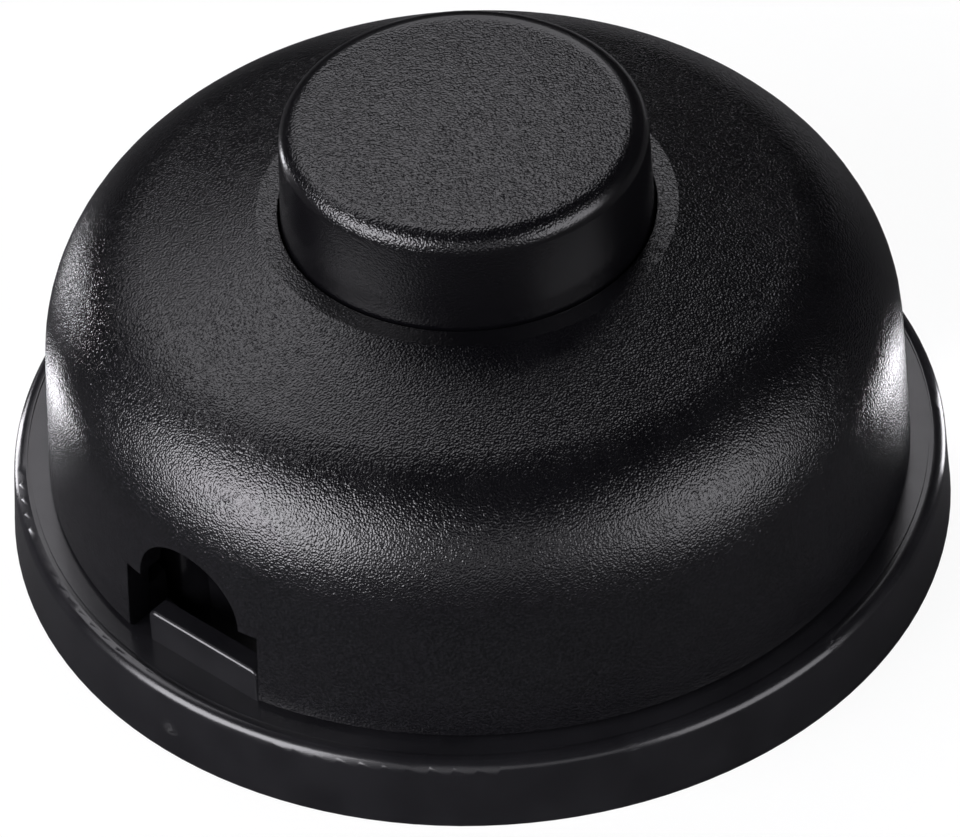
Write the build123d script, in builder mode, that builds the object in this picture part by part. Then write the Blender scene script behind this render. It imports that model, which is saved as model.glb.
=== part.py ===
from build123d import *
from math import cos, radians, sin, tan
import os

# Round inline foot switch for the cord of a lamp, in millimetres.
# The origin is the centre of the underside, +Z is up, and the cord runs along X.
# The sizes chain outwards: crown, spring and button in the middle, then the switch
# housing, the terminals, the clamps, the sills, the cover and the flange.

# Drive crown and rotor: four ramps turn the rotor one step for a full press
button_travel = 4.5
step_angle = 45.0
ramp_count = 4
ramp_span_angle = 64.0
ramp_gap = 0.25
crown_radius = 7.85
crown_bore = 5.0
fin_tip_gap = 0.45
fin_width = 1.5
fin_side_gap = 0.2
key_width = 1.6
key_height = 0.9
key_top_gap = 0.5
rotor_rim_gap = 1.6
rotor_thickness = 2.0
rotor_hub_wall = 2.4
ratchet_tooth_count = 8
ratchet_tooth_depth = 0.8
ratchet_tooth_length = 2.4
ratchet_tooth_slant = 30.0
pin_radius = 1.5
pin_head_radius = 2.6
pin_head_height = 0.9
pin_clearance = 0.05
boss_wall = 1.5
washer_radius = 3.2
washer_thickness = 0.4

# Housing lid and return spring
guide_clearance = 0.2
lid_thickness = 1.5
lid_spigot_height = 1.0
lid_collar_wall = 1.15
lid_collar_height = 5.5
lid_hook_width = 4.0
lid_hook_thickness = 0.85
lid_hook_drop = 3.0
spring_wire = 0.8
spring_turns = 5
spring_side_gap = 0.33
spring_seat_width = 1.8

# Push button
button_wall = 1.8
button_draft = 2.0
button_rise = 7.7
button_edge_radius = 1.5
button_crown = 0.15
button_roof = 1.9
button_lip_width = 1.3
button_lip_height = 1.2
button_lip_gap = 0.3
button_side_gap = 0.1
socket_wall = 1.1
socket_depth = 4.7

# Switch housing
housing_wall = 1.3
housing_floor = 2.0
housing_height = 11.5
housing_ear_reach = 2.27
housing_ear_radius = 2.3
housing_ear_height = 3.0
housing_ear_web = 0.85

# Contacts
blade_thickness = 0.8
blade_inner_gap = 1.5
bridge_end_gap = 0.4
rivet_radius = 1.5
rivet_height = 0.3
contact_gap = 0.05
bridge_width = 4.0
bridge_thickness = 0.6
bridge_eye_gap = 0.2
bridge_eye_wall = 1.4
running_gap = 0.05

# Terminals and their pockets
terminal_length = 5.0
terminal_width = 5.0
terminal_height = 6.5
terminal_gap = 1.0
terminal_chamfer = 0.38
wire_hole_radius = 1.5
wire_hole_height = 2.6
connector_length = 15.0
connector_gap = 0.4
connector_end_margin = 3.0
pocket_wall = 1.1
pocket_clearance = 0.1
pocket_floor = 2.0
pocket_side_height = 2.8

# Cord clamps and saddles
clamp_gap = 1.2
clamp_width = 5.0
clamp_thickness = 3.0
clamp_end_margin = 2.4
clamp_hollow = 0.8
clamp_pillar_radius = 2.4
cord_channel_width = 8.8
cord_channel_height = 10.0
saddle_thickness = 2.0
saddle_radius = 4.3
saddle_height = 5.4

# Cord entries: a shouldered slot with an arch over it, and the sill plate inside it
sill_gap = 4.9
sill_setback = 0.75
sill_thickness = 1.5
sill_half_width = 5.0
sill_side_gap = 0.1
sill_height = 2.65
sill_corner_radius = 0.6
sill_edge_radius = 0.3
slot_half_width = 5.9
slot_height = 5.9
arch_radius = 4.45

# Dome cover
wall = 2.0
dome_height = 21.1
wall_draft = 3.2
shoulder_radius = 9.8
roof_slope = 15.6
collar_land = 1.42
guide_wall = 1.5
guide_depth = 3.0
foot_chamfer = 0.4
shell_clearance = 0.15

# Base plate
flange_step = 2.85
flange_height = 5.3
flange_draft = 4.4
flange_edge_radius = 0.9
flange_wall = 1.8
flange_web = 1.9
flange_groove_inset = 1.45
flange_groove_width = 0.25
flange_groove_depth = 0.12
flange_rib_count = 12
flange_rib_thickness = 1.2
underside_recess = 0.8
floor_thickness = 2.2
dish_wall = 1.6
locating_ring_height = 2.5

# Screws and their pillars
cover_pillar_inset = 3.2
cover_pillar_radius = 3.4
cover_pillar_height = 5.0
cover_boss_radius = 3.0
cover_screw_seat = 3.4
cover_screw_radius = 1.4
cover_screw_length = 11.0
clamp_screw_radius = 1.3
clamp_screw_length = 9.5
housing_screw_radius = 1.1
housing_screw_length = 4.6
terminal_screw_radius = 1.25
screw_clearance = 0.3
screw_head_ratio = 1.85
screw_head_height_ratio = 1.2
screw_slot_ratio = 0.28
screw_cross_ratio = 1.1
pilot_clearance = 0.05
pilot_extra_depth = 0.8

# Levels that follow from the sizes above
flange_top = flange_height
floor_top = underside_recess + floor_thickness
collar_top = flange_top + dome_height
collar_bottom = collar_top - guide_depth
button_top = collar_top + button_rise
button_ceiling = button_top - button_roof
lip_top = collar_bottom - button_lip_gap
housing_top = floor_top + housing_height
lid_top = housing_top + lid_thickness
cup_floor = floor_top + housing_floor
pocket_top = floor_top + pocket_floor
blade_top = cup_floor + blade_thickness
bridge_bottom = blade_top + 2 * rivet_height + contact_gap
rotor_bottom = bridge_bottom + bridge_thickness
rotor_top = rotor_bottom + rotor_thickness
sill_top = flange_top + sill_height
arch_centre = flange_top + slot_height
saddle_top = floor_top + saddle_height
clamp_pillar_top = floor_top + cord_channel_height
cover_pillar_top = floor_top + cover_pillar_height

# Radii and offsets that follow, from the middle outwards
lid_bore = crown_radius + guide_clearance
lid_collar_radius = lid_bore + lid_collar_wall
spring_radius = lid_collar_radius + spring_side_gap + spring_wire / 2
button_radius = spring_radius + spring_wire / 2 + spring_side_gap + button_wall
button_hole_radius = (
    button_radius + (button_top - collar_bottom) * tan(radians(button_draft)) + button_side_gap
)
collar_radius = button_hole_radius + collar_land
housing_bore = lid_collar_radius + spring_seat_width
housing_radius = housing_bore + housing_wall
housing_ear_offset = (housing_radius + housing_ear_reach) * cos(radians(45))
rotor_radius = housing_bore - rotor_rim_gap
rotor_hub_radius = pin_radius + rotor_hub_wall
boss_radius = pin_radius + boss_wall
fin_radius = crown_radius - fin_tip_gap
blade_inner_end = boss_radius + blade_inner_gap
bridge_half_length = rotor_radius - bridge_end_gap
contact_offset = bridge_half_length - rivet_radius
bridge_eye_bore = boss_radius + bridge_eye_gap
terminal_centre = housing_radius + terminal_gap + terminal_length / 2
connector_offset = housing_radius + connector_gap + pocket_wall + pocket_clearance + terminal_width / 2
connector_screw_step = connector_length - 2 * connector_end_margin
clamp_offset = terminal_centre + terminal_length / 2 + clamp_gap + clamp_width / 2
clamp_screw_step = cord_channel_width + 2 * clamp_pillar_radius
sill_face = clamp_offset + clamp_width / 2 + sill_gap
sill_offset = slot_half_width - sill_side_gap - sill_half_width
foot_radius = sill_face + sill_setback
dish_outer_radius = foot_radius - wall - shell_clearance
dish_inner_radius = dish_outer_radius - dish_wall
cover_screw_offset = dish_inner_radius - cover_pillar_inset
flange_radius = foot_radius + flange_step
flange_groove_radius = flange_radius - flange_groove_inset

# Ramps of the crown and fins of the rotor: a press of one travel turns one step
ramp_rise = button_travel / radians(step_angle)
fin_mid_radius = (crown_bore + fin_radius) / 2
fin_slope = ramp_rise / fin_mid_radius
fin_low = rotor_top + button_travel + 2 * ramp_gap + fin_side_gap
fin_high = fin_low + fin_width * fin_slope
ramp_tip = fin_low + ramp_gap - fin_side_gap * fin_slope
ramp_root = ramp_tip + ramp_rise * radians(ramp_span_angle)
hub_top = fin_high + 2 * ramp_gap
washer_bottom = hub_top + running_gap
pin_top = washer_bottom + washer_thickness + running_gap + pin_head_height

# Planes at the two cord entries: each faces outwards, with its own X across the cord
entry_planes = [
    Plane(origin=(0, 0, 0), x_dir=(0, -1, 0), z_dir=(-1, 0, 0)),
    Plane(origin=(0, 0, 0), x_dir=(0, 1, 0), z_dir=(1, 0, 0)),
]
housing_ear_places = [
    (housing_ear_offset, housing_ear_offset),
    (-housing_ear_offset, -housing_ear_offset),
]


def dome_corners(inset):
    """Corner and collar point of the dome's outline, moved in by a wall."""
    wall_line = foot_radius + flange_top * tan(radians(wall_draft)) - inset / cos(radians(wall_draft))
    roof_line = collar_top + collar_radius * tan(radians(roof_slope)) - inset / cos(radians(roof_slope))
    both_slopes = tan(radians(wall_draft)) * tan(radians(roof_slope))
    corner_radius = (wall_line - roof_line * tan(radians(wall_draft))) / (1 - both_slopes)
    corner_height = roof_line - corner_radius * tan(radians(roof_slope))
    return wall_line, roof_line, (corner_radius, corner_height)


def screw(shank_radius, length, slotted=False):
    """Pan-head screw hanging from the XY plane: its head is above and its shank below."""
    head_radius = screw_head_ratio * shank_radius
    head_height = screw_head_height_ratio * shank_radius
    slot_width = screw_slot_ratio * head_radius
    with BuildPart() as made:
        with BuildSketch():
            Circle(head_radius)
        extrude(amount=head_height)
        chamfer(made.edges().group_by(Axis.Z)[-1], head_height / 3)
        with BuildSketch(Plane.XY.offset(head_height)):
            if slotted:
                Rectangle(3 * head_radius, slot_width)
            else:
                Rectangle(screw_cross_ratio * head_radius, slot_width)
                Rectangle(slot_width, screw_cross_ratio * head_radius)
        extrude(amount=-head_height / 2, mode=Mode.SUBTRACT)
        with BuildSketch():
            Circle(shank_radius)
        extrude(amount=-length)
        chamfer(made.edges().group_by(Axis.Z)[0], shank_radius / 3)
    return made.part


# Base plate: a dish with a cored flange, the locating ring, pillars and pockets
with BuildPart() as base_plate:
    with BuildSketch(Plane.XZ) as base_profile:
        flange_top_radius = flange_radius - flange_top * tan(radians(flange_draft))
        core_outer = flange_radius - flange_wall
        core_inner = dish_outer_radius + dish_wall / 2
        web_underside = flange_top - flange_web
        ring_top = flange_top + locating_ring_height
        with BuildLine():
            Polyline(
                (0, underside_recess),
                (dish_inner_radius, underside_recess),
                (dish_inner_radius, 0),
                (core_inner, 0),
                (core_inner, web_underside),
                (core_outer, web_underside),
                (core_outer, 0),
                (flange_radius, 0),
                (flange_top_radius, flange_top),
                (dish_outer_radius, flange_top),
                (dish_outer_radius, ring_top),
                (dish_inner_radius, ring_top),
                (dish_inner_radius, floor_top),
                (0, floor_top),
                close=True,
            )
        make_face()
        flange_corner = base_profile.vertices().sort_by_distance((flange_top_radius, flange_top))[0]
        fillet(flange_corner, flange_edge_radius)
    revolve(axis=Axis.Z)
    # Fine groove that sets the flange's rounded rim off from its flat top
    with BuildSketch(Plane.XZ):
        with Locations((flange_groove_radius, flange_top)):
            Rectangle(flange_groove_width, 2 * flange_groove_depth)
    revolve(axis=Axis.Z, mode=Mode.SUBTRACT)
    # Ribs across the cored underside of the flange
    with BuildSketch(Plane.XY.offset(underside_recess)):
        with PolarLocations((core_inner + core_outer) / 2, flange_rib_count):
            Rectangle(core_outer - core_inner + flange_wall, flange_rib_thickness)
    extrude(amount=web_underside - underside_recess + flange_web / 2)
    # The locating ring stops at each cord entry, where the sill plate stands instead
    with BuildSketch(Plane.YZ):
        with Locations((0, ring_top)):
            Rectangle(2 * slot_half_width, 2 * locating_ring_height)
    extrude(amount=foot_radius, both=True, mode=Mode.SUBTRACT)
    for entry in entry_planes:
        with BuildSketch(entry.offset(sill_face - sill_thickness)) as sill:
            with Locations((sill_offset, (sill_top + floor_top) / 2)):
                Rectangle(2 * sill_half_width, sill_top - floor_top)
            fillet(sill.vertices().group_by(Axis.Y)[-1], sill_corner_radius)
        extrude(amount=sill_thickness)
        outer_face = base_plate.faces().filter_by(entry).sort_by(Axis(entry.origin, entry.z_dir))
        sill_edges = outer_face.filter_by(lambda f: f.center().Z > flange_top)[-1].edges()
        fillet(sill_edges.filter_by(lambda e: e.center().Z > sill_top - sill_corner_radius), sill_edge_radius)
        # Cord saddle behind the sill
        with BuildSketch(entry.offset(clamp_offset - saddle_thickness / 2)):
            with Locations((0, (saddle_top + floor_top) / 2)):
                Rectangle(clamp_screw_step, saddle_top - floor_top)
            with Locations((0, arch_centre)):
                Circle(saddle_radius, mode=Mode.SUBTRACT)
        extrude(amount=saddle_thickness)
    # Pillars for the clamp screws and the cover screws
    with BuildSketch(Plane.XY.offset(floor_top)):
        with GridLocations(2 * clamp_offset, clamp_screw_step, 2, 2):
            Circle(clamp_pillar_radius)
    extrude(amount=clamp_pillar_top - floor_top)
    with BuildSketch(Plane.XY.offset(underside_recess)):
        with GridLocations(0, 2 * cover_screw_offset, 1, 2):
            Circle(cover_pillar_radius)
    extrude(amount=cover_pillar_top - underside_recess)
    # Pockets for the two live terminals and for the two through connectors
    pocket_places = [
        (terminal_centre, 0, terminal_length),
        (-terminal_centre, 0, terminal_length),
        (0, connector_offset, connector_length),
        (0, -connector_offset, connector_length),
    ]
    for x, y, length in pocket_places:
        pocket_depth = terminal_width + 2 * (pocket_clearance + pocket_wall)
        with BuildSketch(Plane.XY.offset(floor_top)):
            with Locations((x, y)):
                Rectangle(length, pocket_depth)
        extrude(amount=pocket_floor + pocket_side_height)
        with BuildSketch(Plane.XY.offset(pocket_top)):
            with Locations((x, y)):
                Rectangle(length, terminal_width + 2 * pocket_clearance)
        extrude(amount=pocket_side_height, mode=Mode.SUBTRACT)
    # Screw holes: clamp pilots, cover screw clearance with its counterbore, housing pilots
    with Locations((0, 0, clamp_pillar_top)):
        with GridLocations(2 * clamp_offset, clamp_screw_step, 2, 2):
            Hole(
                clamp_screw_radius + pilot_clearance,
                depth=clamp_screw_length - clamp_thickness + pilot_extra_depth,
            )
    with BuildSketch():
        with GridLocations(0, 2 * cover_screw_offset, 1, 2):
            Circle(cover_screw_radius + screw_clearance)
    extrude(amount=cover_pillar_top, mode=Mode.SUBTRACT)
    with BuildSketch():
        with GridLocations(0, 2 * cover_screw_offset, 1, 2):
            Circle(screw_head_ratio * cover_screw_radius + screw_clearance)
    extrude(amount=cover_screw_seat, mode=Mode.SUBTRACT)
    with BuildSketch(Plane.XY.offset(floor_top)):
        with Locations(*housing_ear_places):
            Circle(housing_screw_radius + pilot_clearance)
    extrude(amount=-(housing_screw_length - housing_ear_height), mode=Mode.SUBTRACT)
base_plate.part.label = "base_plate"

# Core of the dome cover: the hollow inside it, with the two screw bosses left standing
with BuildPart() as cover_core:
    with BuildSketch(Plane.XZ) as core_profile:
        wall_line, roof_line, corner = dome_corners(wall)
        core_foot = flange_top - wall
        core_foot_radius = wall_line - core_foot * tan(radians(wall_draft))
        guide_radius = button_hole_radius + guide_wall
        guide_root = roof_line - guide_radius * tan(radians(roof_slope))
        with BuildLine():
            Polyline(
                (0, core_foot),
                (core_foot_radius, core_foot),
                corner,
                (guide_radius, guide_root),
                (guide_radius, collar_bottom),
                (0, collar_bottom),
                close=True,
            )
        make_face()
        fillet(core_profile.vertices().sort_by_distance(corner)[0], shoulder_radius - wall)
    revolve(axis=Axis.Z)
    with BuildSketch(Plane.XY.offset(cover_pillar_top)):
        with GridLocations(0, 2 * cover_screw_offset, 1, 2):
            Circle(cover_boss_radius)
    extrude(amount=collar_top, mode=Mode.SUBTRACT)

# Dome cover: one moulded shell with the button's collar and two arched cord entries
with BuildPart() as cover:
    with BuildSketch(Plane.XZ) as cover_profile:
        wall_line, roof_line, corner = dome_corners(0)
        with BuildLine():
            Polyline(
                (0, flange_top),
                (foot_radius, flange_top),
                corner,
                (collar_radius, collar_top),
                (0, collar_top),
                close=True,
            )
        make_face()
        fillet(cover_profile.vertices().sort_by_distance(corner)[0], shoulder_radius)
        foot_corner = cover_profile.vertices().sort_by_distance((foot_radius, flange_top))[0]
        chamfer(foot_corner, foot_chamfer)
    revolve(axis=Axis.Z)
    add(cover_core.part, mode=Mode.SUBTRACT)
    with Locations((0, 0, collar_top)):
        Hole(button_hole_radius, depth=collar_top)
    with BuildSketch(Plane.YZ):
        with Locations((0, flange_top)):
            Rectangle(2 * slot_half_width, 2 * (arch_centre - flange_top))
        with Locations((0, arch_centre)):
            Circle(arch_radius)
    extrude(amount=flange_radius, both=True, mode=Mode.SUBTRACT)
    with BuildSketch(Plane.XY.offset(cover_pillar_top)):
        with GridLocations(0, 2 * cover_screw_offset, 1, 2):
            Circle(cover_screw_radius + pilot_clearance)
    boss_hole_depth = cover_screw_seat + cover_screw_length - cover_pillar_top + pilot_extra_depth
    extrude(amount=boss_hole_depth, mode=Mode.SUBTRACT)
cover.part.label = "cover"

# Push button: a drafted cap with a retaining lip and a socket for the drive crown
with BuildPart() as push_button:
    with BuildSketch(Plane.XZ):
        draft = tan(radians(button_draft))
        lip_bottom = lip_top - button_lip_height
        side_at_lip = button_radius + (button_top - lip_top) * draft
        lip_radius = side_at_lip + button_lip_width
        inside_top = button_radius - button_wall
        inside_bottom = inside_top + (button_ceiling - lip_bottom) * draft
        with BuildLine():
            Polyline(
                (0, button_ceiling),
                (inside_top, button_ceiling),
                (inside_bottom, lip_bottom),
                (lip_radius, lip_bottom),
                (lip_radius, lip_top),
                (side_at_lip, lip_top),
                (button_radius, button_top - button_crown),
            )
            ThreePointArc(
                (button_radius, button_top - button_crown),
                (button_radius / 2, button_top - button_crown / 4),
                (0, button_top),
            )
            Line((0, button_top), (0, button_ceiling))
        make_face()
    revolve(axis=Axis.Z)
    top_edge_point = (0, -button_radius, button_top - button_crown)
    top_edges = push_button.edges().filter_by(GeomType.CIRCLE)
    fillet(top_edges.sort_by_distance(top_edge_point)[0], button_edge_radius)
    with BuildSketch(Plane.XY.offset(button_ceiling)):
        Circle(crown_radius + pilot_clearance + socket_wall)
        Circle(crown_radius + pilot_clearance, mode=Mode.SUBTRACT)
    extrude(amount=-socket_depth)
push_button.part.label = "push_button"

# Space under one helical ramp of the drive crown, swept about the axis in short steps
with BuildPart() as ramp_space:
    pitch_angle = 360 / ramp_count
    step_count = 12
    for step in range(step_count + 1):
        angle = pitch_angle * step / step_count
        turn = radians(angle)
        roof = min(ramp_tip + ramp_rise * turn, ramp_root)
        outwards = (cos(turn), sin(turn), 0)
        with BuildSketch(Plane(origin=(0, 0, 0), x_dir=outwards, z_dir=(sin(turn), -cos(turn), 0))):
            with BuildLine():
                Polyline(
                    (crown_bore / 2, ramp_tip - button_travel),
                    (2 * crown_radius, ramp_tip - button_travel),
                    (2 * crown_radius, roof),
                    (crown_bore / 2, roof),
                    close=True,
                )
            make_face()
    loft(ruled=True)

# Drive crown: a sleeve whose lower edge is cut into ramps, with two guide keys outside
with BuildPart() as drive_crown:
    with BuildSketch(Plane.XY.offset(ramp_tip)):
        Circle(crown_radius)
        Circle(crown_bore, mode=Mode.SUBTRACT)
    extrude(amount=button_ceiling - ramp_tip)
    with PolarLocations(0, ramp_count):
        add(ramp_space.part, mode=Mode.SUBTRACT)
    key_top = button_ceiling - socket_depth - key_top_gap
    with BuildSketch(Plane.XY.offset(ramp_root)):
        with PolarLocations(crown_radius, 2, start_angle=90):
            Rectangle(2 * key_height, key_width)
        Circle((crown_radius + crown_bore) / 2, mode=Mode.SUBTRACT)
    extrude(amount=key_top - ramp_root)
drive_crown.part.label = "drive_crown"

# Rotor: a ratchet wheel on a hub, with one sloped fin under each ramp of the crown
with BuildPart() as rotor:
    with BuildSketch(Plane.XY.offset(rotor_bottom)):
        Circle(rotor_radius)
        with PolarLocations(rotor_radius, ratchet_tooth_count):
            Rectangle(
                2 * ratchet_tooth_depth,
                ratchet_tooth_length,
                rotation=ratchet_tooth_slant,
                mode=Mode.SUBTRACT,
            )
    extrude(amount=rotor_thickness)
    with BuildSketch(Plane.XY.offset(rotor_bottom)):
        Circle(rotor_hub_radius)
    extrude(amount=hub_top - rotor_bottom)
    fin_turn = (fin_side_gap + fin_width / 2) / fin_mid_radius
    for fin in range(ramp_count):
        turn = fin_turn + radians(360 / ramp_count) * fin
        outwards = (cos(turn), sin(turn), 0)
        with BuildSketch(Plane(origin=(0, 0, 0), x_dir=(-sin(turn), cos(turn), 0), z_dir=outwards)):
            with BuildLine():
                Polyline(
                    (-fin_width / 2, rotor_bottom),
                    (fin_width / 2, rotor_bottom),
                    (fin_width / 2, fin_high),
                    (-fin_width / 2, fin_low),
                    close=True,
                )
            make_face()
        extrude(amount=fin_radius)
    with BuildSketch(Plane.XY.offset(rotor_bottom)):
        Circle(pin_radius + pin_clearance)
    extrude(amount=hub_top - rotor_bottom, mode=Mode.SUBTRACT)
rotor.part.label = "rotor"

# Contact bridge: a flat strip under the rotor, with an eye round the housing's centre boss
with BuildPart() as contact_bridge:
    with BuildSketch(Plane.XY.offset(bridge_bottom)):
        SlotOverall(2 * bridge_half_length, bridge_width)
        Circle(bridge_eye_bore + bridge_eye_wall)
        Circle(bridge_eye_bore, mode=Mode.SUBTRACT)
    extrude(amount=bridge_thickness)
contact_bridge.part.label = "contact_bridge"

# Contact rivets: one pair on the fixed contacts, one pair under the bridge
with BuildPart() as fixed_rivets:
    with BuildSketch(Plane.XY.offset(blade_top)):
        with GridLocations(2 * contact_offset, 0, 2, 1):
            Circle(rivet_radius)
    extrude(amount=rivet_height)
    chamfer(fixed_rivets.edges().group_by(Axis.Z)[-1], rivet_height / 2)
fixed_rivets.part.label = "fixed_rivets"

with BuildPart() as bridge_rivets:
    with BuildSketch(Plane.XY.offset(bridge_bottom)):
        with GridLocations(2 * contact_offset, 0, 2, 1):
            Circle(rivet_radius)
    extrude(amount=-rivet_height)
    chamfer(bridge_rivets.edges().group_by(Axis.Z)[0], rivet_height / 2)
bridge_rivets.part.label = "bridge_rivets"

# Switch housing: a cup with a centre boss for the rotor, two blade slots and two screw ears
with BuildPart() as switch_housing:
    with BuildSketch(Plane.XY.offset(floor_top)):
        Circle(housing_radius)
    extrude(amount=housing_height)
    with BuildSketch(Plane.XY.offset(cup_floor)):
        Circle(housing_bore)
    extrude(amount=housing_height, mode=Mode.SUBTRACT)
    with BuildSketch(Plane.XY.offset(floor_top)):
        for ear in housing_ear_places:
            with Locations(ear):
                Circle(housing_ear_radius)
            with Locations((ear[0] * housing_ear_web, ear[1] * housing_ear_web)):
                Rectangle(2 * housing_ear_radius, 2 * housing_ear_radius, rotation=45)
        Circle(housing_bore, mode=Mode.SUBTRACT)
    extrude(amount=housing_ear_height)
    with BuildSketch(Plane.YZ):
        with Locations((0, cup_floor + blade_thickness)):
            Rectangle(terminal_width + screw_clearance, 2 * blade_thickness)
    extrude(amount=housing_radius, both=True, mode=Mode.SUBTRACT)
    with BuildSketch(Plane.XY.offset(cup_floor)):
        Circle(boss_radius)
    extrude(amount=rotor_bottom - running_gap - cup_floor)
    with BuildSketch(Plane.XY.offset(floor_top)):
        Circle(pin_radius)
        with Locations(*housing_ear_places):
            Circle(housing_screw_radius + screw_clearance)
    extrude(amount=housing_height, mode=Mode.SUBTRACT)
    # Nibs that the lid's hooks snap under
    with BuildSketch(Plane.XY.offset(housing_top - lid_hook_drop - lid_hook_thickness)):
        with PolarLocations(housing_radius, 2, start_angle=90):
            Rectangle(2 * lid_hook_thickness, lid_hook_width)
        Circle(housing_radius - housing_wall / 2, mode=Mode.SUBTRACT)
    extrude(amount=lid_hook_thickness)
switch_housing.part.label = "switch_housing"

# Housing lid: seat of the return spring, with a slotted collar that guides the crown
with BuildPart() as housing_lid:
    with BuildSketch(Plane.XY.offset(housing_top)):
        Circle(housing_radius)
        with PolarLocations(housing_radius, 2, start_angle=90):
            Rectangle(2 * lid_hook_thickness, lid_hook_width)
    extrude(amount=lid_thickness)
    with BuildSketch(Plane.XY.offset(housing_top)):
        Circle(housing_bore - shell_clearance)
    extrude(amount=-lid_spigot_height)
    with BuildSketch(Plane.XY.offset(lid_top)):
        Circle(lid_collar_radius)
    extrude(amount=lid_collar_height)
    with Locations((0, 0, lid_top + lid_collar_height)):
        Hole(lid_bore)
    with BuildSketch(Plane.XY.offset(lid_top)):
        Rectangle(key_width + 2 * guide_clearance, 2 * lid_collar_radius)
    extrude(amount=lid_collar_height, mode=Mode.SUBTRACT)
    with BuildSketch(Plane.XY.offset(housing_top)):
        with PolarLocations(housing_radius, 2, start_angle=90):
            Rectangle(2 * lid_hook_thickness, lid_hook_width)
        Circle(housing_radius + running_gap, mode=Mode.SUBTRACT)
    extrude(amount=-lid_hook_drop)
housing_lid.part.label = "housing_lid"

# Axle pin with its domed head, and the washer that presses the rotor on its contacts
with BuildPart() as axle_pin:
    with BuildSketch(Plane.XY.offset(floor_top)):
        Circle(pin_radius)
    extrude(amount=pin_top - pin_head_height - floor_top)
    with BuildSketch(Plane.XY.offset(pin_top - pin_head_height)):
        Circle(pin_head_radius)
    extrude(amount=pin_head_height)
    chamfer(axle_pin.edges().group_by(Axis.Z)[-1], pin_head_height / 2)
axle_pin.part.label = "axle_pin"

with BuildPart() as axle_washer:
    with BuildSketch(Plane.XY.offset(washer_bottom)):
        Circle(washer_radius)
        Circle(pin_radius + pin_clearance, mode=Mode.SUBTRACT)
    extrude(amount=washer_thickness)
axle_washer.part.label = "axle_washer"

# Return spring: a helix between the housing lid and the underside of the button
with BuildPart() as return_spring:
    spring_bottom = lid_top + spring_wire / 2
    spring_height = button_ceiling - spring_wire / 2 - spring_bottom
    with BuildLine() as spring_line:
        Helix(
            pitch=spring_height / spring_turns,
            height=spring_height,
            radius=spring_radius,
            center=(0, 0, spring_bottom),
        )
    with BuildSketch(Plane(origin=spring_line.line @ 0, z_dir=spring_line.line % 0)):
        RegularPolygon(spring_wire / 2, side_count=6)
    sweep(path=spring_line.line, is_frenet=True)
return_spring.part.label = "return_spring"

# Fixed contacts: a blade each side, from its terminal through the housing wall
contact_parts = []
for side, name in ((-1, "inlet_contact"), (1, "outlet_contact")):
    blade_outer_end = terminal_centre + terminal_length / 2
    blade_length = blade_outer_end - blade_inner_end
    with BuildPart() as contact:
        with BuildSketch(Plane.XY.offset(cup_floor)):
            with Locations((side * (blade_inner_end + blade_length / 2), 0)):
                Rectangle(blade_length, terminal_width)
        extrude(amount=blade_thickness)
        fillet(contact.edges().filter_by(Axis.Z), blade_thickness)
    contact.part.label = name
    contact_parts.append(contact.part)


def terminal_block(x, y, length, base_height, screw_step, screws):
    """Brass block with one wire hole along X and threaded holes from above."""
    with BuildPart() as block:
        with BuildSketch(Plane.XY.offset(base_height)):
            with Locations((x, y)):
                Rectangle(length, terminal_width)
        extrude(amount=terminal_height)
        chamfer(block.edges().group_by(Axis.Z)[-1], terminal_chamfer)
        with BuildSketch(Plane.YZ.offset(x)):
            with Locations((y, base_height + wire_hole_height)):
                Circle(wire_hole_radius)
        extrude(amount=length, both=True, mode=Mode.SUBTRACT)
        with BuildSketch(Plane.XY.offset(base_height + wire_hole_height)):
            with Locations((x, y)):
                with GridLocations(screw_step, 0, screws, 1):
                    Circle(terminal_screw_radius + pilot_clearance)
        extrude(amount=terminal_height, mode=Mode.SUBTRACT)
    return block.part


# Live terminals on the ends of the blades, and the two through connectors beside them
inlet_terminal = terminal_block(-terminal_centre, 0, terminal_length, blade_top, 0, 1)
inlet_terminal.label = "inlet_terminal"
outlet_terminal = terminal_block(terminal_centre, 0, terminal_length, blade_top, 0, 1)
outlet_terminal.label = "outlet_terminal"
neutral_connector = terminal_block(
    0, -connector_offset, connector_length, pocket_top, connector_screw_step, 2
)
neutral_connector.label = "neutral_connector"
earth_connector = terminal_block(
    0, connector_offset, connector_length, pocket_top, connector_screw_step, 2
)
earth_connector.label = "earth_connector"

# Screws: one group for each kind
terminal_screw = screw(terminal_screw_radius, terminal_height - wire_hole_height, slotted=True)
with BuildPart() as terminal_screws:
    with Locations((0, 0, blade_top + terminal_height)):
        with GridLocations(2 * terminal_centre, 0, 2, 1):
            add(terminal_screw)
    with Locations((0, 0, pocket_top + terminal_height)):
        with GridLocations(connector_screw_step, 2 * connector_offset, 2, 2):
            add(terminal_screw)
terminal_screws.part.label = "terminal_screws"

clamp_screw = screw(clamp_screw_radius, clamp_screw_length)
with BuildPart() as cord_clamp_screws:
    with Locations((0, 0, clamp_pillar_top + clamp_thickness)):
        with GridLocations(2 * clamp_offset, clamp_screw_step, 2, 2):
            add(clamp_screw)
cord_clamp_screws.part.label = "cord_clamp_screws"

housing_screw = screw(housing_screw_radius, housing_screw_length)
with BuildPart() as housing_screws:
    with Locations(*[(x, y, floor_top + housing_ear_height) for x, y in housing_ear_places]):
        add(housing_screw)
housing_screws.part.label = "housing_screws"

cover_screw = screw(cover_screw_radius, cover_screw_length)
with BuildPart() as cover_screws:
    with Locations(Location((0, 0, cover_screw_seat), (180, 0, 0))):
        with GridLocations(0, 2 * cover_screw_offset, 1, 2):
            add(cover_screw)
cover_screws.part.label = "cover_screws"

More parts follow.
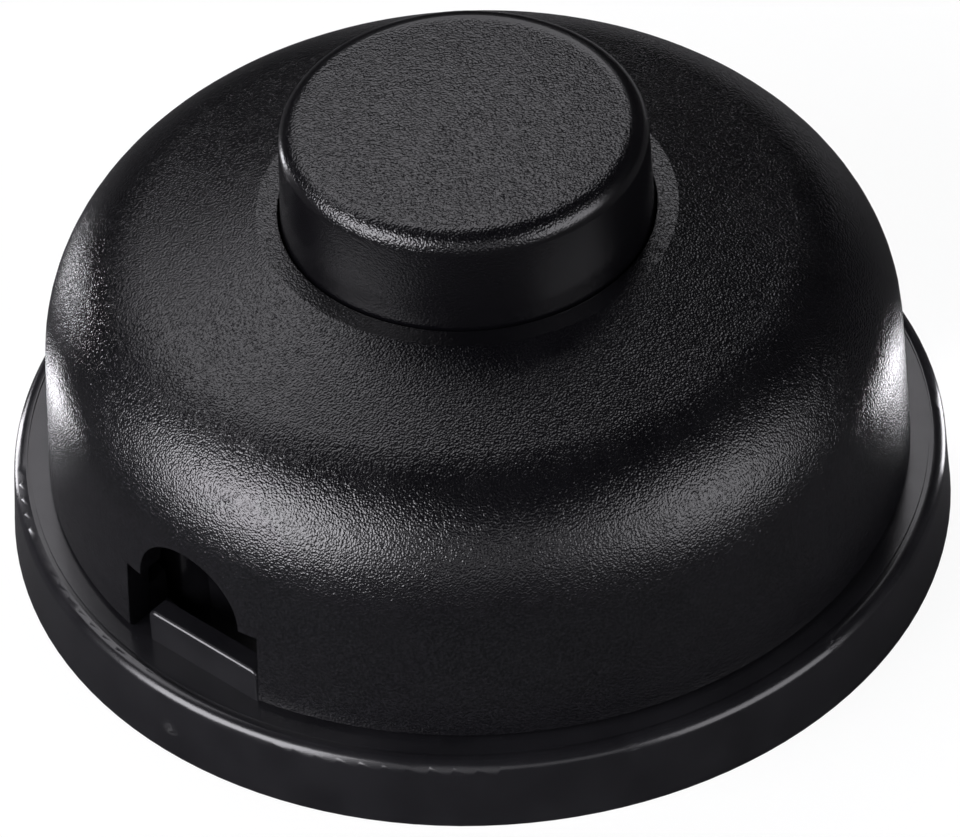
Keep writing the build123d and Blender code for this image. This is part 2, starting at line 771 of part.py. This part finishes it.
# Cord clamps: a bar across each entry, hollowed below to sit round the cord
clamp_parts = []
for side, name in ((-1, "inlet_cord_clamp"), (1, "outlet_cord_clamp")):
    clamp_length = clamp_screw_step + 2 * clamp_end_margin
    hollow_half_width = clamp_screw_step / 2 - clamp_pillar_radius
    hollow_radius = (hollow_half_width**2 + clamp_hollow**2) / (2 * clamp_hollow)
    with BuildPart() as clamp:
        with BuildSketch(Plane.XY.offset(clamp_pillar_top)):
            with Locations((side * clamp_offset, 0)):
                SlotOverall(clamp_length, clamp_width, rotation=90)
        extrude(amount=clamp_thickness)
        with BuildSketch(Plane.YZ.offset(side * clamp_offset)):
            with Locations((0, clamp_pillar_top + clamp_hollow - hollow_radius)):
                Circle(hollow_radius)
        extrude(amount=clamp_width, both=True, mode=Mode.SUBTRACT)
        with BuildSketch(Plane.XY.offset(clamp_pillar_top)):
            with Locations((side * clamp_offset, 0)):
                with GridLocations(0, clamp_screw_step, 1, 2):
                    Circle(clamp_screw_radius + screw_clearance)
        extrude(amount=clamp_thickness, mode=Mode.SUBTRACT)
    clamp.part.label = name
    clamp_parts.append(clamp.part)

# One file for each piece, named after its label
pieces = [
    made.part
    for made in (
        base_plate,
        cover,
        push_button,
        drive_crown,
        return_spring,
        rotor,
        contact_bridge,
        bridge_rivets,
        fixed_rivets,
        switch_housing,
        housing_lid,
        axle_pin,
        axle_washer,
        terminal_screws,
        cord_clamp_screws,
        housing_screws,
        cover_screws,
    )
]
terminals = [inlet_terminal, outlet_terminal, neutral_connector, earth_connector]
os.makedirs("parts", exist_ok=True)
for piece in pieces + terminals + contact_parts + clamp_parts:
    export_step(piece, f"parts/{piece.label}.step")
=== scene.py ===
from math import cos, pi, radians, sin

import bmesh
import bpy
from mathutils import Matrix, Vector


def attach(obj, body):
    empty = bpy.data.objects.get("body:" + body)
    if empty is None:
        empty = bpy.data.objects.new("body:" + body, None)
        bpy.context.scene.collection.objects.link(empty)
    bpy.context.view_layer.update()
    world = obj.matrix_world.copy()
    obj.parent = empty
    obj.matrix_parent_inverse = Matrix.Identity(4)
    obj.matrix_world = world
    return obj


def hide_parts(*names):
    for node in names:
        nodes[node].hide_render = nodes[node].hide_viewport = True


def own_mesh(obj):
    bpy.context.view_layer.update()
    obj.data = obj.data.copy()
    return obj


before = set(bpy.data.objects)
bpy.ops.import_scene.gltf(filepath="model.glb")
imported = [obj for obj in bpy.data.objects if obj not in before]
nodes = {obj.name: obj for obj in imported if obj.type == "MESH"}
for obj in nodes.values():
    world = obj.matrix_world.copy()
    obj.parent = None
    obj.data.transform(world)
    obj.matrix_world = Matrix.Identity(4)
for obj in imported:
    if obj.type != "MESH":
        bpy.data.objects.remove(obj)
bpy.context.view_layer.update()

# Sizes in metres
mm = 0.001

# Camera: how the switch was photographed, with its inlet towards the lower left
camera_elevation = radians(42.343)
camera_turn = radians(-137.32)
camera_roll = radians(-2.948)
camera_distance = 462.291 * mm
camera_aside = (0.133 * mm, -5.835 * mm)
camera_lens = 245.74
camera_sensor = 36.0
camera_shift = -0.01318
camera_near = 0.01
camera_far = 10

# Paper sweep: a round floor that bends up into a dome
paper_radius = 1.6
paper_bend = 0.4
bend_steps = 8
turn_steps = 96
floor_gap = 0.02 * mm
paper_shade = 0.85
paper_glow = 0.92

# Lamps and sky
light_distance = 0.6
light_aim = 15 * mm
daylight = (0.965, 0.95, 1.0)
sky_strength = 0.02

# Grain of the cover and of the button's top
cover_grain = 0.17 * mm
cover_grain_depth = 0.028 * mm
cover_edge = 0.12 * mm
button_grain = 0.18 * mm
button_grain_depth = 0.03 * mm
speck_size = 0.06 * mm

# Grained part of the button's top: it lies a little off centre
grained_centre = (-1.06 * mm, -0.44 * mm, 0)
grained_radius = 11.3 * mm
polished_radius = 11.9 * mm

# Painted sheen on the cover's lower wall: full up to 9 mm from this height, none beyond 17 mm
sheen_centre = (0, 0, 6 * mm)
sheen_full = 9 * mm
sheen_end = 17 * mm

# Scuffed places on the base: one on its side, two on its rim
scuff_places = (
    (-33.0 * mm, -0.5 * mm, 2.2 * mm),
    (-17.0 * mm, -28.3 * mm, 5.3 * mm),
    (-0.8 * mm, -32.4 * mm, 5.3 * mm),
)
scuff_inner = 0.1 * mm
scuff_outer = 0.9 * mm

# Colours of the black plastics
black = (0.0015, 0.0014, 0.0020, 1.0)
dusty = (0.0026, 0.0025, 0.0032, 1.0)
# The next colour also serves as the painted sheen on the cover's lower wall
hazy = (0.0078, 0.0077, 0.0090, 1.0)
scratch = (0.020, 0.020, 0.021, 1.0)
speck = (0.16, 0.16, 0.15, 1.0)


class Shader:
    """A material's node tree with short calls for the nodes that the finishes use."""

    def __init__(self, name):
        self.material = bpy.data.materials.new(name)
        self.material.use_nodes = True
        self.tree = self.material.node_tree
        self.bsdf = self.tree.nodes["Principled BSDF"]
        self.place = self.node("ShaderNodeTexCoord").outputs["Object"]

    def node(self, kind, **inputs):
        made = self.tree.nodes.new(kind)
        for name, value in inputs.items():
            self.feed(made.inputs[name.replace("_", " ")], value)
        return made

    def feed(self, socket, value):
        if isinstance(value, bpy.types.NodeSocket):
            self.tree.links.new(value, socket)
        else:
            socket.default_value = value

    def stretch(self, scale):
        """Places scaled along each axis, to draw a pattern out or to leave an axis out."""
        mapping = self.node("ShaderNodeMapping")
        self.feed(mapping.inputs["Vector"], self.place)
        mapping.inputs["Scale"].default_value = scale
        return mapping.outputs["Vector"]

    def noise(self, size, detail=3.0, vector=None):
        made = self.node("ShaderNodeTexNoise", Scale=1 / size, Detail=detail, Roughness=0.55)
        self.feed(made.inputs["Vector"], vector or self.place)
        return made.outputs["Fac"]

    def pebbles(self, size):
        made = self.node("ShaderNodeTexVoronoi", Scale=1 / size)
        self.feed(made.inputs["Vector"], self.place)
        return made.outputs["Distance"]

    def math(self, operation, a, b):
        made = self.node("ShaderNodeMath")
        made.operation = operation
        self.feed(made.inputs[0], a)
        self.feed(made.inputs[1], b)
        return made.outputs[0]

    def ramp(self, value, low, high, from_low=0.0, from_high=1.0):
        """Low to high while the value goes from from_low to from_high, and level beyond."""
        made = self.node(
            "ShaderNodeMapRange",
            Value=value,
            From_Min=from_low,
            From_Max=from_high,
            To_Min=low,
            To_Max=high,
        )
        made.clamp = True
        return made.outputs[0]

    def blend(self, fac, a, b):
        made = self.node("ShaderNodeMix")
        made.data_type = "RGBA"
        self.feed(made.inputs["Factor"], fac)
        self.feed(made.inputs["A"], a)
        self.feed(made.inputs["B"], b)
        return made.outputs["Result"]

    def bump(self, height, distance, strength=1.0, normal=None):
        made = self.node("ShaderNodeBump", Distance=distance)
        self.feed(made.inputs["Height"], height)
        self.feed(made.inputs["Strength"], strength)
        if normal:
            self.feed(made.inputs["Normal"], normal)
        return made.outputs["Normal"]

    def spot(self, centre, inner, outer, place=None):
        """1 within the inner radius of a point, 0 beyond the outer one."""
        reach = self.node("ShaderNodeVectorMath")
        reach.operation = "DISTANCE"
        self.feed(reach.inputs[0], place or self.place)
        reach.inputs[1].default_value = centre
        return self.ramp(reach.outputs["Value"], 1.0, 0.0, inner, outer)

    def set(self, **inputs):
        for name, value in inputs.items():
            self.feed(self.bsdf.inputs[name.replace("_", " ")], value)


def soften_edges(shader, radius):
    """Rounds sharp moulded edges in the shading."""
    bevel = shader.node("ShaderNodeBevel", Radius=radius)
    bevel.samples = 4
    return bevel.outputs["Normal"]


def spark_grain(shader, size):
    """Height of a spark-eroded surface: small round bumps, unevenly high."""
    bumps = shader.pebbles(size)
    uneven = shader.noise(0.7 * size, 0.0)
    return shader.math("SUBTRACT", uneven, bumps)


def specks(shader, spacing, size=speck_size):
    """1 on a few dust specks, 0 elsewhere."""
    dots = shader.node("ShaderNodeTexVoronoi", Scale=1 / spacing)
    shader.feed(dots.inputs["Vector"], shader.place)
    return shader.ramp(dots.outputs["Distance"], 1.0, 0.0, 0.4 * size / spacing, size / spacing)


def cover_plastic():
    """Spark-eroded moulding, with a painted sheen low on its wall, in the hollows of the grain."""
    shader = Shader("cover_plastic")
    grain = spark_grain(shader, cover_grain)
    cloud = shader.noise(6 * mm, 3.0)
    plastic = shader.blend(shader.ramp(cloud, 0.0, 1.0, 0.35, 0.7), black, dusty)
    # Painted sheen: the lower wall is lightened towards the hazy colour in the hollows of the
    # grain, in place of fine reflections
    wall = shader.spot(sheen_centre, sheen_full, sheen_end, shader.stretch((0, 0, 1)))
    painted_sheen = shader.math("MULTIPLY", wall, shader.ramp(grain, 0.8, 0.0, -0.3, 0.2))
    plastic = shader.blend(painted_sheen, plastic, hazy)
    shader.set(
        Base_Color=shader.blend(specks(shader, 7 * mm, 0.07 * mm), plastic, speck),
        Roughness=shader.ramp(shader.noise(3 * mm), 0.20, 0.24, 0.3, 0.7),
        Normal=shader.bump(grain, cover_grain_depth, 1.0, soften_edges(shader, cover_edge)),
    )
    return shader.material


def button_plastic():
    """Grained on top and polished on its side."""
    shader = Shader("button_plastic")
    flat = shader.stretch((1, 1, 0))
    top = shader.spot(grained_centre, grained_radius, polished_radius, flat)
    grain = spark_grain(shader, button_grain)
    shader.set(
        Base_Color=shader.blend(specks(shader, 6 * mm), black, speck),
        Roughness=shader.ramp(top, 0.24, 0.22),
        Normal=shader.bump(grain, button_grain_depth, shader.ramp(top, 0.012, 1.0)),
    )
    return shader.material


def scuffs(shader, places):
    """1 on the fine scratches of a few small scuffed places."""
    worn = 0.0
    for place in places:
        worn = shader.math("ADD", worn, shader.spot(place, scuff_inner, scuff_outer))
    scratches = shader.noise(0.35 * mm, 4.0, shader.stretch((1, 1, 5)))
    return shader.math("MULTIPLY", worn, shader.ramp(scratches, 0.0, 1.0, 0.52, 0.62))


def base_plastic():
    """Smooth gloss moulding, hazy and dusty, with a few scuffs along its rim."""
    shader = Shader("base_plastic")
    worn = scuffs(shader, scuff_places)
    fine = shader.bump(shader.noise(0.2 * mm, 1.0), 0.02 * mm, 0.2)
    scratched = shader.bump(worn, 0.02 * mm, 1.0, fine)
    haze = shader.ramp(shader.noise(4 * mm, 4.0), 0.5, 1.0, 0.35, 0.65)
    plastic = shader.blend(haze, dusty, hazy)
    plastic = shader.blend(specks(shader, 5 * mm), plastic, speck)
    shader.set(
        Base_Color=shader.blend(worn, plastic, scratch),
        Roughness=shader.ramp(shader.noise(4 * mm), 0.2, 0.26, 0.3, 0.7),
        Normal=shader.bump(shader.noise(5 * mm, 1.0), 0.04 * mm, 0.12, scratched),
    )
    return shader.material


def moulded(name, colour, roughness):
    """Smooth technical plastic, with faint clouds in its colour."""
    shader = Shader(name)
    shade = tuple(0.8 * c for c in colour[:3]) + (1.0,)
    shader.set(
        Base_Color=shader.blend(shader.noise(2 * mm), shade, colour),
        Roughness=shader.ramp(shader.noise(1.2 * mm), roughness - 0.06, roughness + 0.06),
        Normal=shader.bump(shader.noise(0.3 * mm), 0.02 * mm, 0.3),
    )
    return shader.material


def metal(name, colour, roughness, drawn=(1, 1, 8)):
    """Plated or drawn metal, with fine lines across the axis of the largest scale."""
    shader = Shader(name)
    lines = shader.noise(0.4 * mm, 4.0, shader.stretch(drawn))
    dull = tuple(0.65 * c for c in colour[:3]) + (1.0,)
    shader.set(
        Base_Color=shader.blend(shader.ramp(lines, 0.0, 1.0, 0.3, 0.7), dull, colour),
        Metallic=1.0,
        Roughness=shader.ramp(lines, roughness, roughness + 0.18),
        Normal=shader.bump(lines, 0.01 * mm, 0.4),
    )
    return shader.material


def dress(material, *names):
    for name in names:
        mesh = nodes[name].data
        mesh.materials.clear()
        mesh.materials.append(material)


def compressed_spring():
    """The return spring as a copy of its own, attached to the body."""
    coil = bpy.data.objects.new("spring_coil", nodes["return_spring"].data.copy())
    bpy.context.scene.collection.objects.link(coil)
    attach(coil, "body")
    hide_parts("return_spring")
    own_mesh(coil)


def seen_rays(tree):
    """1 for rays from the camera and for reflected and refracted rays."""
    path = tree.nodes.new("ShaderNodeLightPath")
    total = path.outputs["Is Camera Ray"]
    for name in ("Is Glossy Ray", "Is Transmission Ray"):
        either = tree.nodes.new("ShaderNodeMath")
        either.operation = "MAXIMUM"
        tree.links.new(total, either.inputs[0])
        tree.links.new(path.outputs[name], either.inputs[1])
        total = either.outputs[0]
    return total


def white_paper():
    """Pale matte paper that glows a little for the eye, so that it comes out white."""
    material = bpy.data.materials.new("white_paper")
    material.use_nodes = True
    material.cycles.emission_sampling = "NONE"
    tree = material.node_tree
    tree.nodes.remove(tree.nodes["Principled BSDF"])
    matte = tree.nodes.new("ShaderNodeBsdfDiffuse")
    matte.inputs["Color"].default_value = (paper_shade, paper_shade, paper_shade, 1)
    glow = tree.nodes.new("ShaderNodeEmission")
    both = tree.nodes.new("ShaderNodeMixShader")
    share = tree.nodes.new("ShaderNodeMath")
    share.operation = "MULTIPLY"
    share.inputs[1].default_value = paper_glow
    tree.links.new(seen_rays(tree), share.inputs[0])
    tree.links.new(share.outputs[0], both.inputs[0])
    tree.links.new(matte.outputs[0], both.inputs[1])
    tree.links.new(glow.outputs[0], both.inputs[2])
    tree.links.new(both.outputs[0], tree.nodes["Material Output"].inputs["Surface"])
    return material


def sweep_profile():
    """Points from the middle of the floor, through the bend, to the top of the dome."""
    bend = [radians(90 * step / bend_steps) for step in range(bend_steps + 1)]
    points = [(0, 0)]
    points += [(paper_radius - paper_bend * (1 - sin(a)), paper_bend * (1 - cos(a))) for a in bend]
    points += [(paper_radius * cos(a), paper_bend + paper_radius * sin(a)) for a in bend[1:]]
    return points


def without_glow(paper, *names):
    """The paper's glow shows in metal; the named plastics reflect the paper only as it is lit."""
    plastics = bpy.data.collections.new("plastics_without_glow")
    for name in names:
        plastics.objects.link(nodes[name])
    for member in plastics.collection_objects:
        member.light_linking.link_state = "EXCLUDE"
    paper.light_linking.receiver_collection = plastics


def paper_sweep():
    """Round paper floor that curves up into a dome far behind; not part of the object."""
    sweep = bmesh.new()
    points = [sweep.verts.new((x, 0, z - floor_gap)) for x, z in sweep_profile()]
    edges = [sweep.edges.new(pair) for pair in zip(points, points[1:])]
    bmesh.ops.spin(sweep, geom=points + edges, axis=(0, 0, 1), angle=2 * pi, steps=turn_steps)
    bmesh.ops.remove_doubles(sweep, verts=sweep.verts, dist=0.01 * mm)
    bmesh.ops.recalc_face_normals(sweep, faces=sweep.faces)
    mesh = bpy.data.meshes.new("paper_sweep")
    sweep.to_mesh(mesh)
    sweep.free()
    mesh.materials.append(white_paper())
    for face in mesh.polygons:
        face.use_smooth = True
    paper = bpy.data.objects.new("paper_sweep", mesh)
    bpy.context.scene.collection.objects.link(paper)
    without_glow(paper, "cover", "push_button", "base_plate")


def studio_world():
    world = bpy.data.worlds.new("studio")
    bpy.context.scene.world = world
    world.use_nodes = True
    back = world.node_tree.nodes["Background"]
    back.inputs["Color"].default_value = (1, 1, 1, 1)
    back.inputs["Strength"].default_value = sky_strength


def soft_box(name, turn, height, width, tall, radiance, distance=light_distance):
    """Rectangular lamp that faces the switch from a turn and a height in degrees."""
    lamp = bpy.data.lights.new(name, "AREA")
    lamp.shape = "RECTANGLE"
    lamp.size = width
    lamp.size_y = tall
    lamp.color = daylight
    lamp.energy = radiance * width * tall * pi
    holder = bpy.data.objects.new(name, lamp)
    bpy.context.scene.collection.objects.link(holder)
    a, e = radians(turn), radians(height)
    away = Vector((cos(a) * cos(e), sin(a) * cos(e), sin(e)))
    holder.location = away * distance + Vector((0, 0, light_aim))
    holder.rotation_euler = away.to_track_quat("Z", "Y").to_euler()
    holder.visible_camera = False


def photo_camera():
    """Camera that looks along its turn, tilted down, with the photograph's roll."""
    data = bpy.data.cameras.new("camera")
    data.lens = camera_lens
    data.sensor_width = camera_sensor
    data.shift_y = camera_shift
    data.clip_start = camera_near
    data.clip_end = camera_far
    camera = bpy.data.objects.new("camera", data)
    bpy.context.scene.collection.objects.link(camera)
    side = Vector((-sin(camera_turn), cos(camera_turn), 0))
    back = Vector(
        (
            cos(camera_turn) * cos(camera_elevation),
            sin(camera_turn) * cos(camera_elevation),
            sin(camera_elevation),
        )
    )
    up = back.cross(side)
    right = side * cos(camera_roll) + up * sin(camera_roll)
    upright = up * cos(camera_roll) - side * sin(camera_roll)
    place = back * camera_distance - right * camera_aside[0] - upright * camera_aside[1]
    turn = Matrix((right, upright, back)).transposed().to_4x4()
    camera.matrix_world = Matrix.Translation(place) @ turn
    bpy.context.scene.camera = camera


# Plastics
dress(cover_plastic(), "cover")
dress(button_plastic(), "push_button")
dress(base_plastic(), "base_plate")
dress(moulded("natural_nylon", (0.78, 0.76, 0.70, 1), roughness=0.42), "drive_crown")
dress(moulded("red_nylon", (0.5, 0.045, 0.03, 1), roughness=0.4), "rotor")
dress(
    moulded("grey_insulator", (0.07, 0.07, 0.075, 1), roughness=0.5),
    "switch_housing",
    "housing_lid",
)
dress(
    moulded("clamp_plastic", (0.012, 0.012, 0.013, 1), roughness=0.45),
    "inlet_cord_clamp",
    "outlet_cord_clamp",
)

# Metals
dress(
    metal("turned_brass", (0.72, 0.52, 0.22, 1), roughness=0.24),
    "inlet_terminal",
    "outlet_terminal",
    "neutral_connector",
    "earth_connector",
)
dress(
    metal("stamped_brass", (0.76, 0.57, 0.27, 1), roughness=0.3, drawn=(8, 1, 1)),
    "inlet_contact",
    "outlet_contact",
    "contact_bridge",
)
dress(
    metal("silver_contacts", (0.86, 0.85, 0.82, 1), roughness=0.22),
    "bridge_rivets",
    "fixed_rivets",
)
dress(
    metal("zinc_plate", (0.6, 0.61, 0.63, 1), roughness=0.3),
    "cord_clamp_screws",
    "cover_screws",
    "housing_screws",
)
dress(metal("nickel_plate", (0.62, 0.6, 0.56, 1), roughness=0.24), "terminal_screws")
dress(
    metal("spring_steel", (0.5, 0.5, 0.51, 1), roughness=0.28),
    "return_spring",
    "axle_pin",
    "axle_washer",
)

compressed_spring()

# Studio: large soft boxes all round, and small low panels for the highlights on the far edges
paper_sweep()
studio_world()
soft_box("left_box", turn=162.7, height=24, width=0.48, tall=0.36, radiance=11.5)
soft_box("front_box", turn=-137.3, height=22, width=0.6, tall=0.25, radiance=0.9)
soft_box("right_box", turn=-80, height=18, width=0.46, tall=0.34, radiance=4.0)
soft_box("back_box", turn=67, height=52, width=0.62, tall=0.28, radiance=2.6)
for name, turn, height, width, tall, radiance, distance in (
    ("far_left_rim", 97, -4, 9 * mm, 12 * mm, 14, 80 * mm),
    ("left_rim", 120, -16, 9 * mm, 5 * mm, 9, 42 * mm),
    ("back_rim", 25, -5, 90 * mm, 12 * mm, 0.3, 95 * mm),
    ("right_rim", -39, -16, 10 * mm, 5 * mm, 11, 42 * mm),
):
    soft_box(name, turn, height, width, tall, radiance, distance)
photo_camera()
bpy.context.scene.view_settings.view_transform = "Standard"
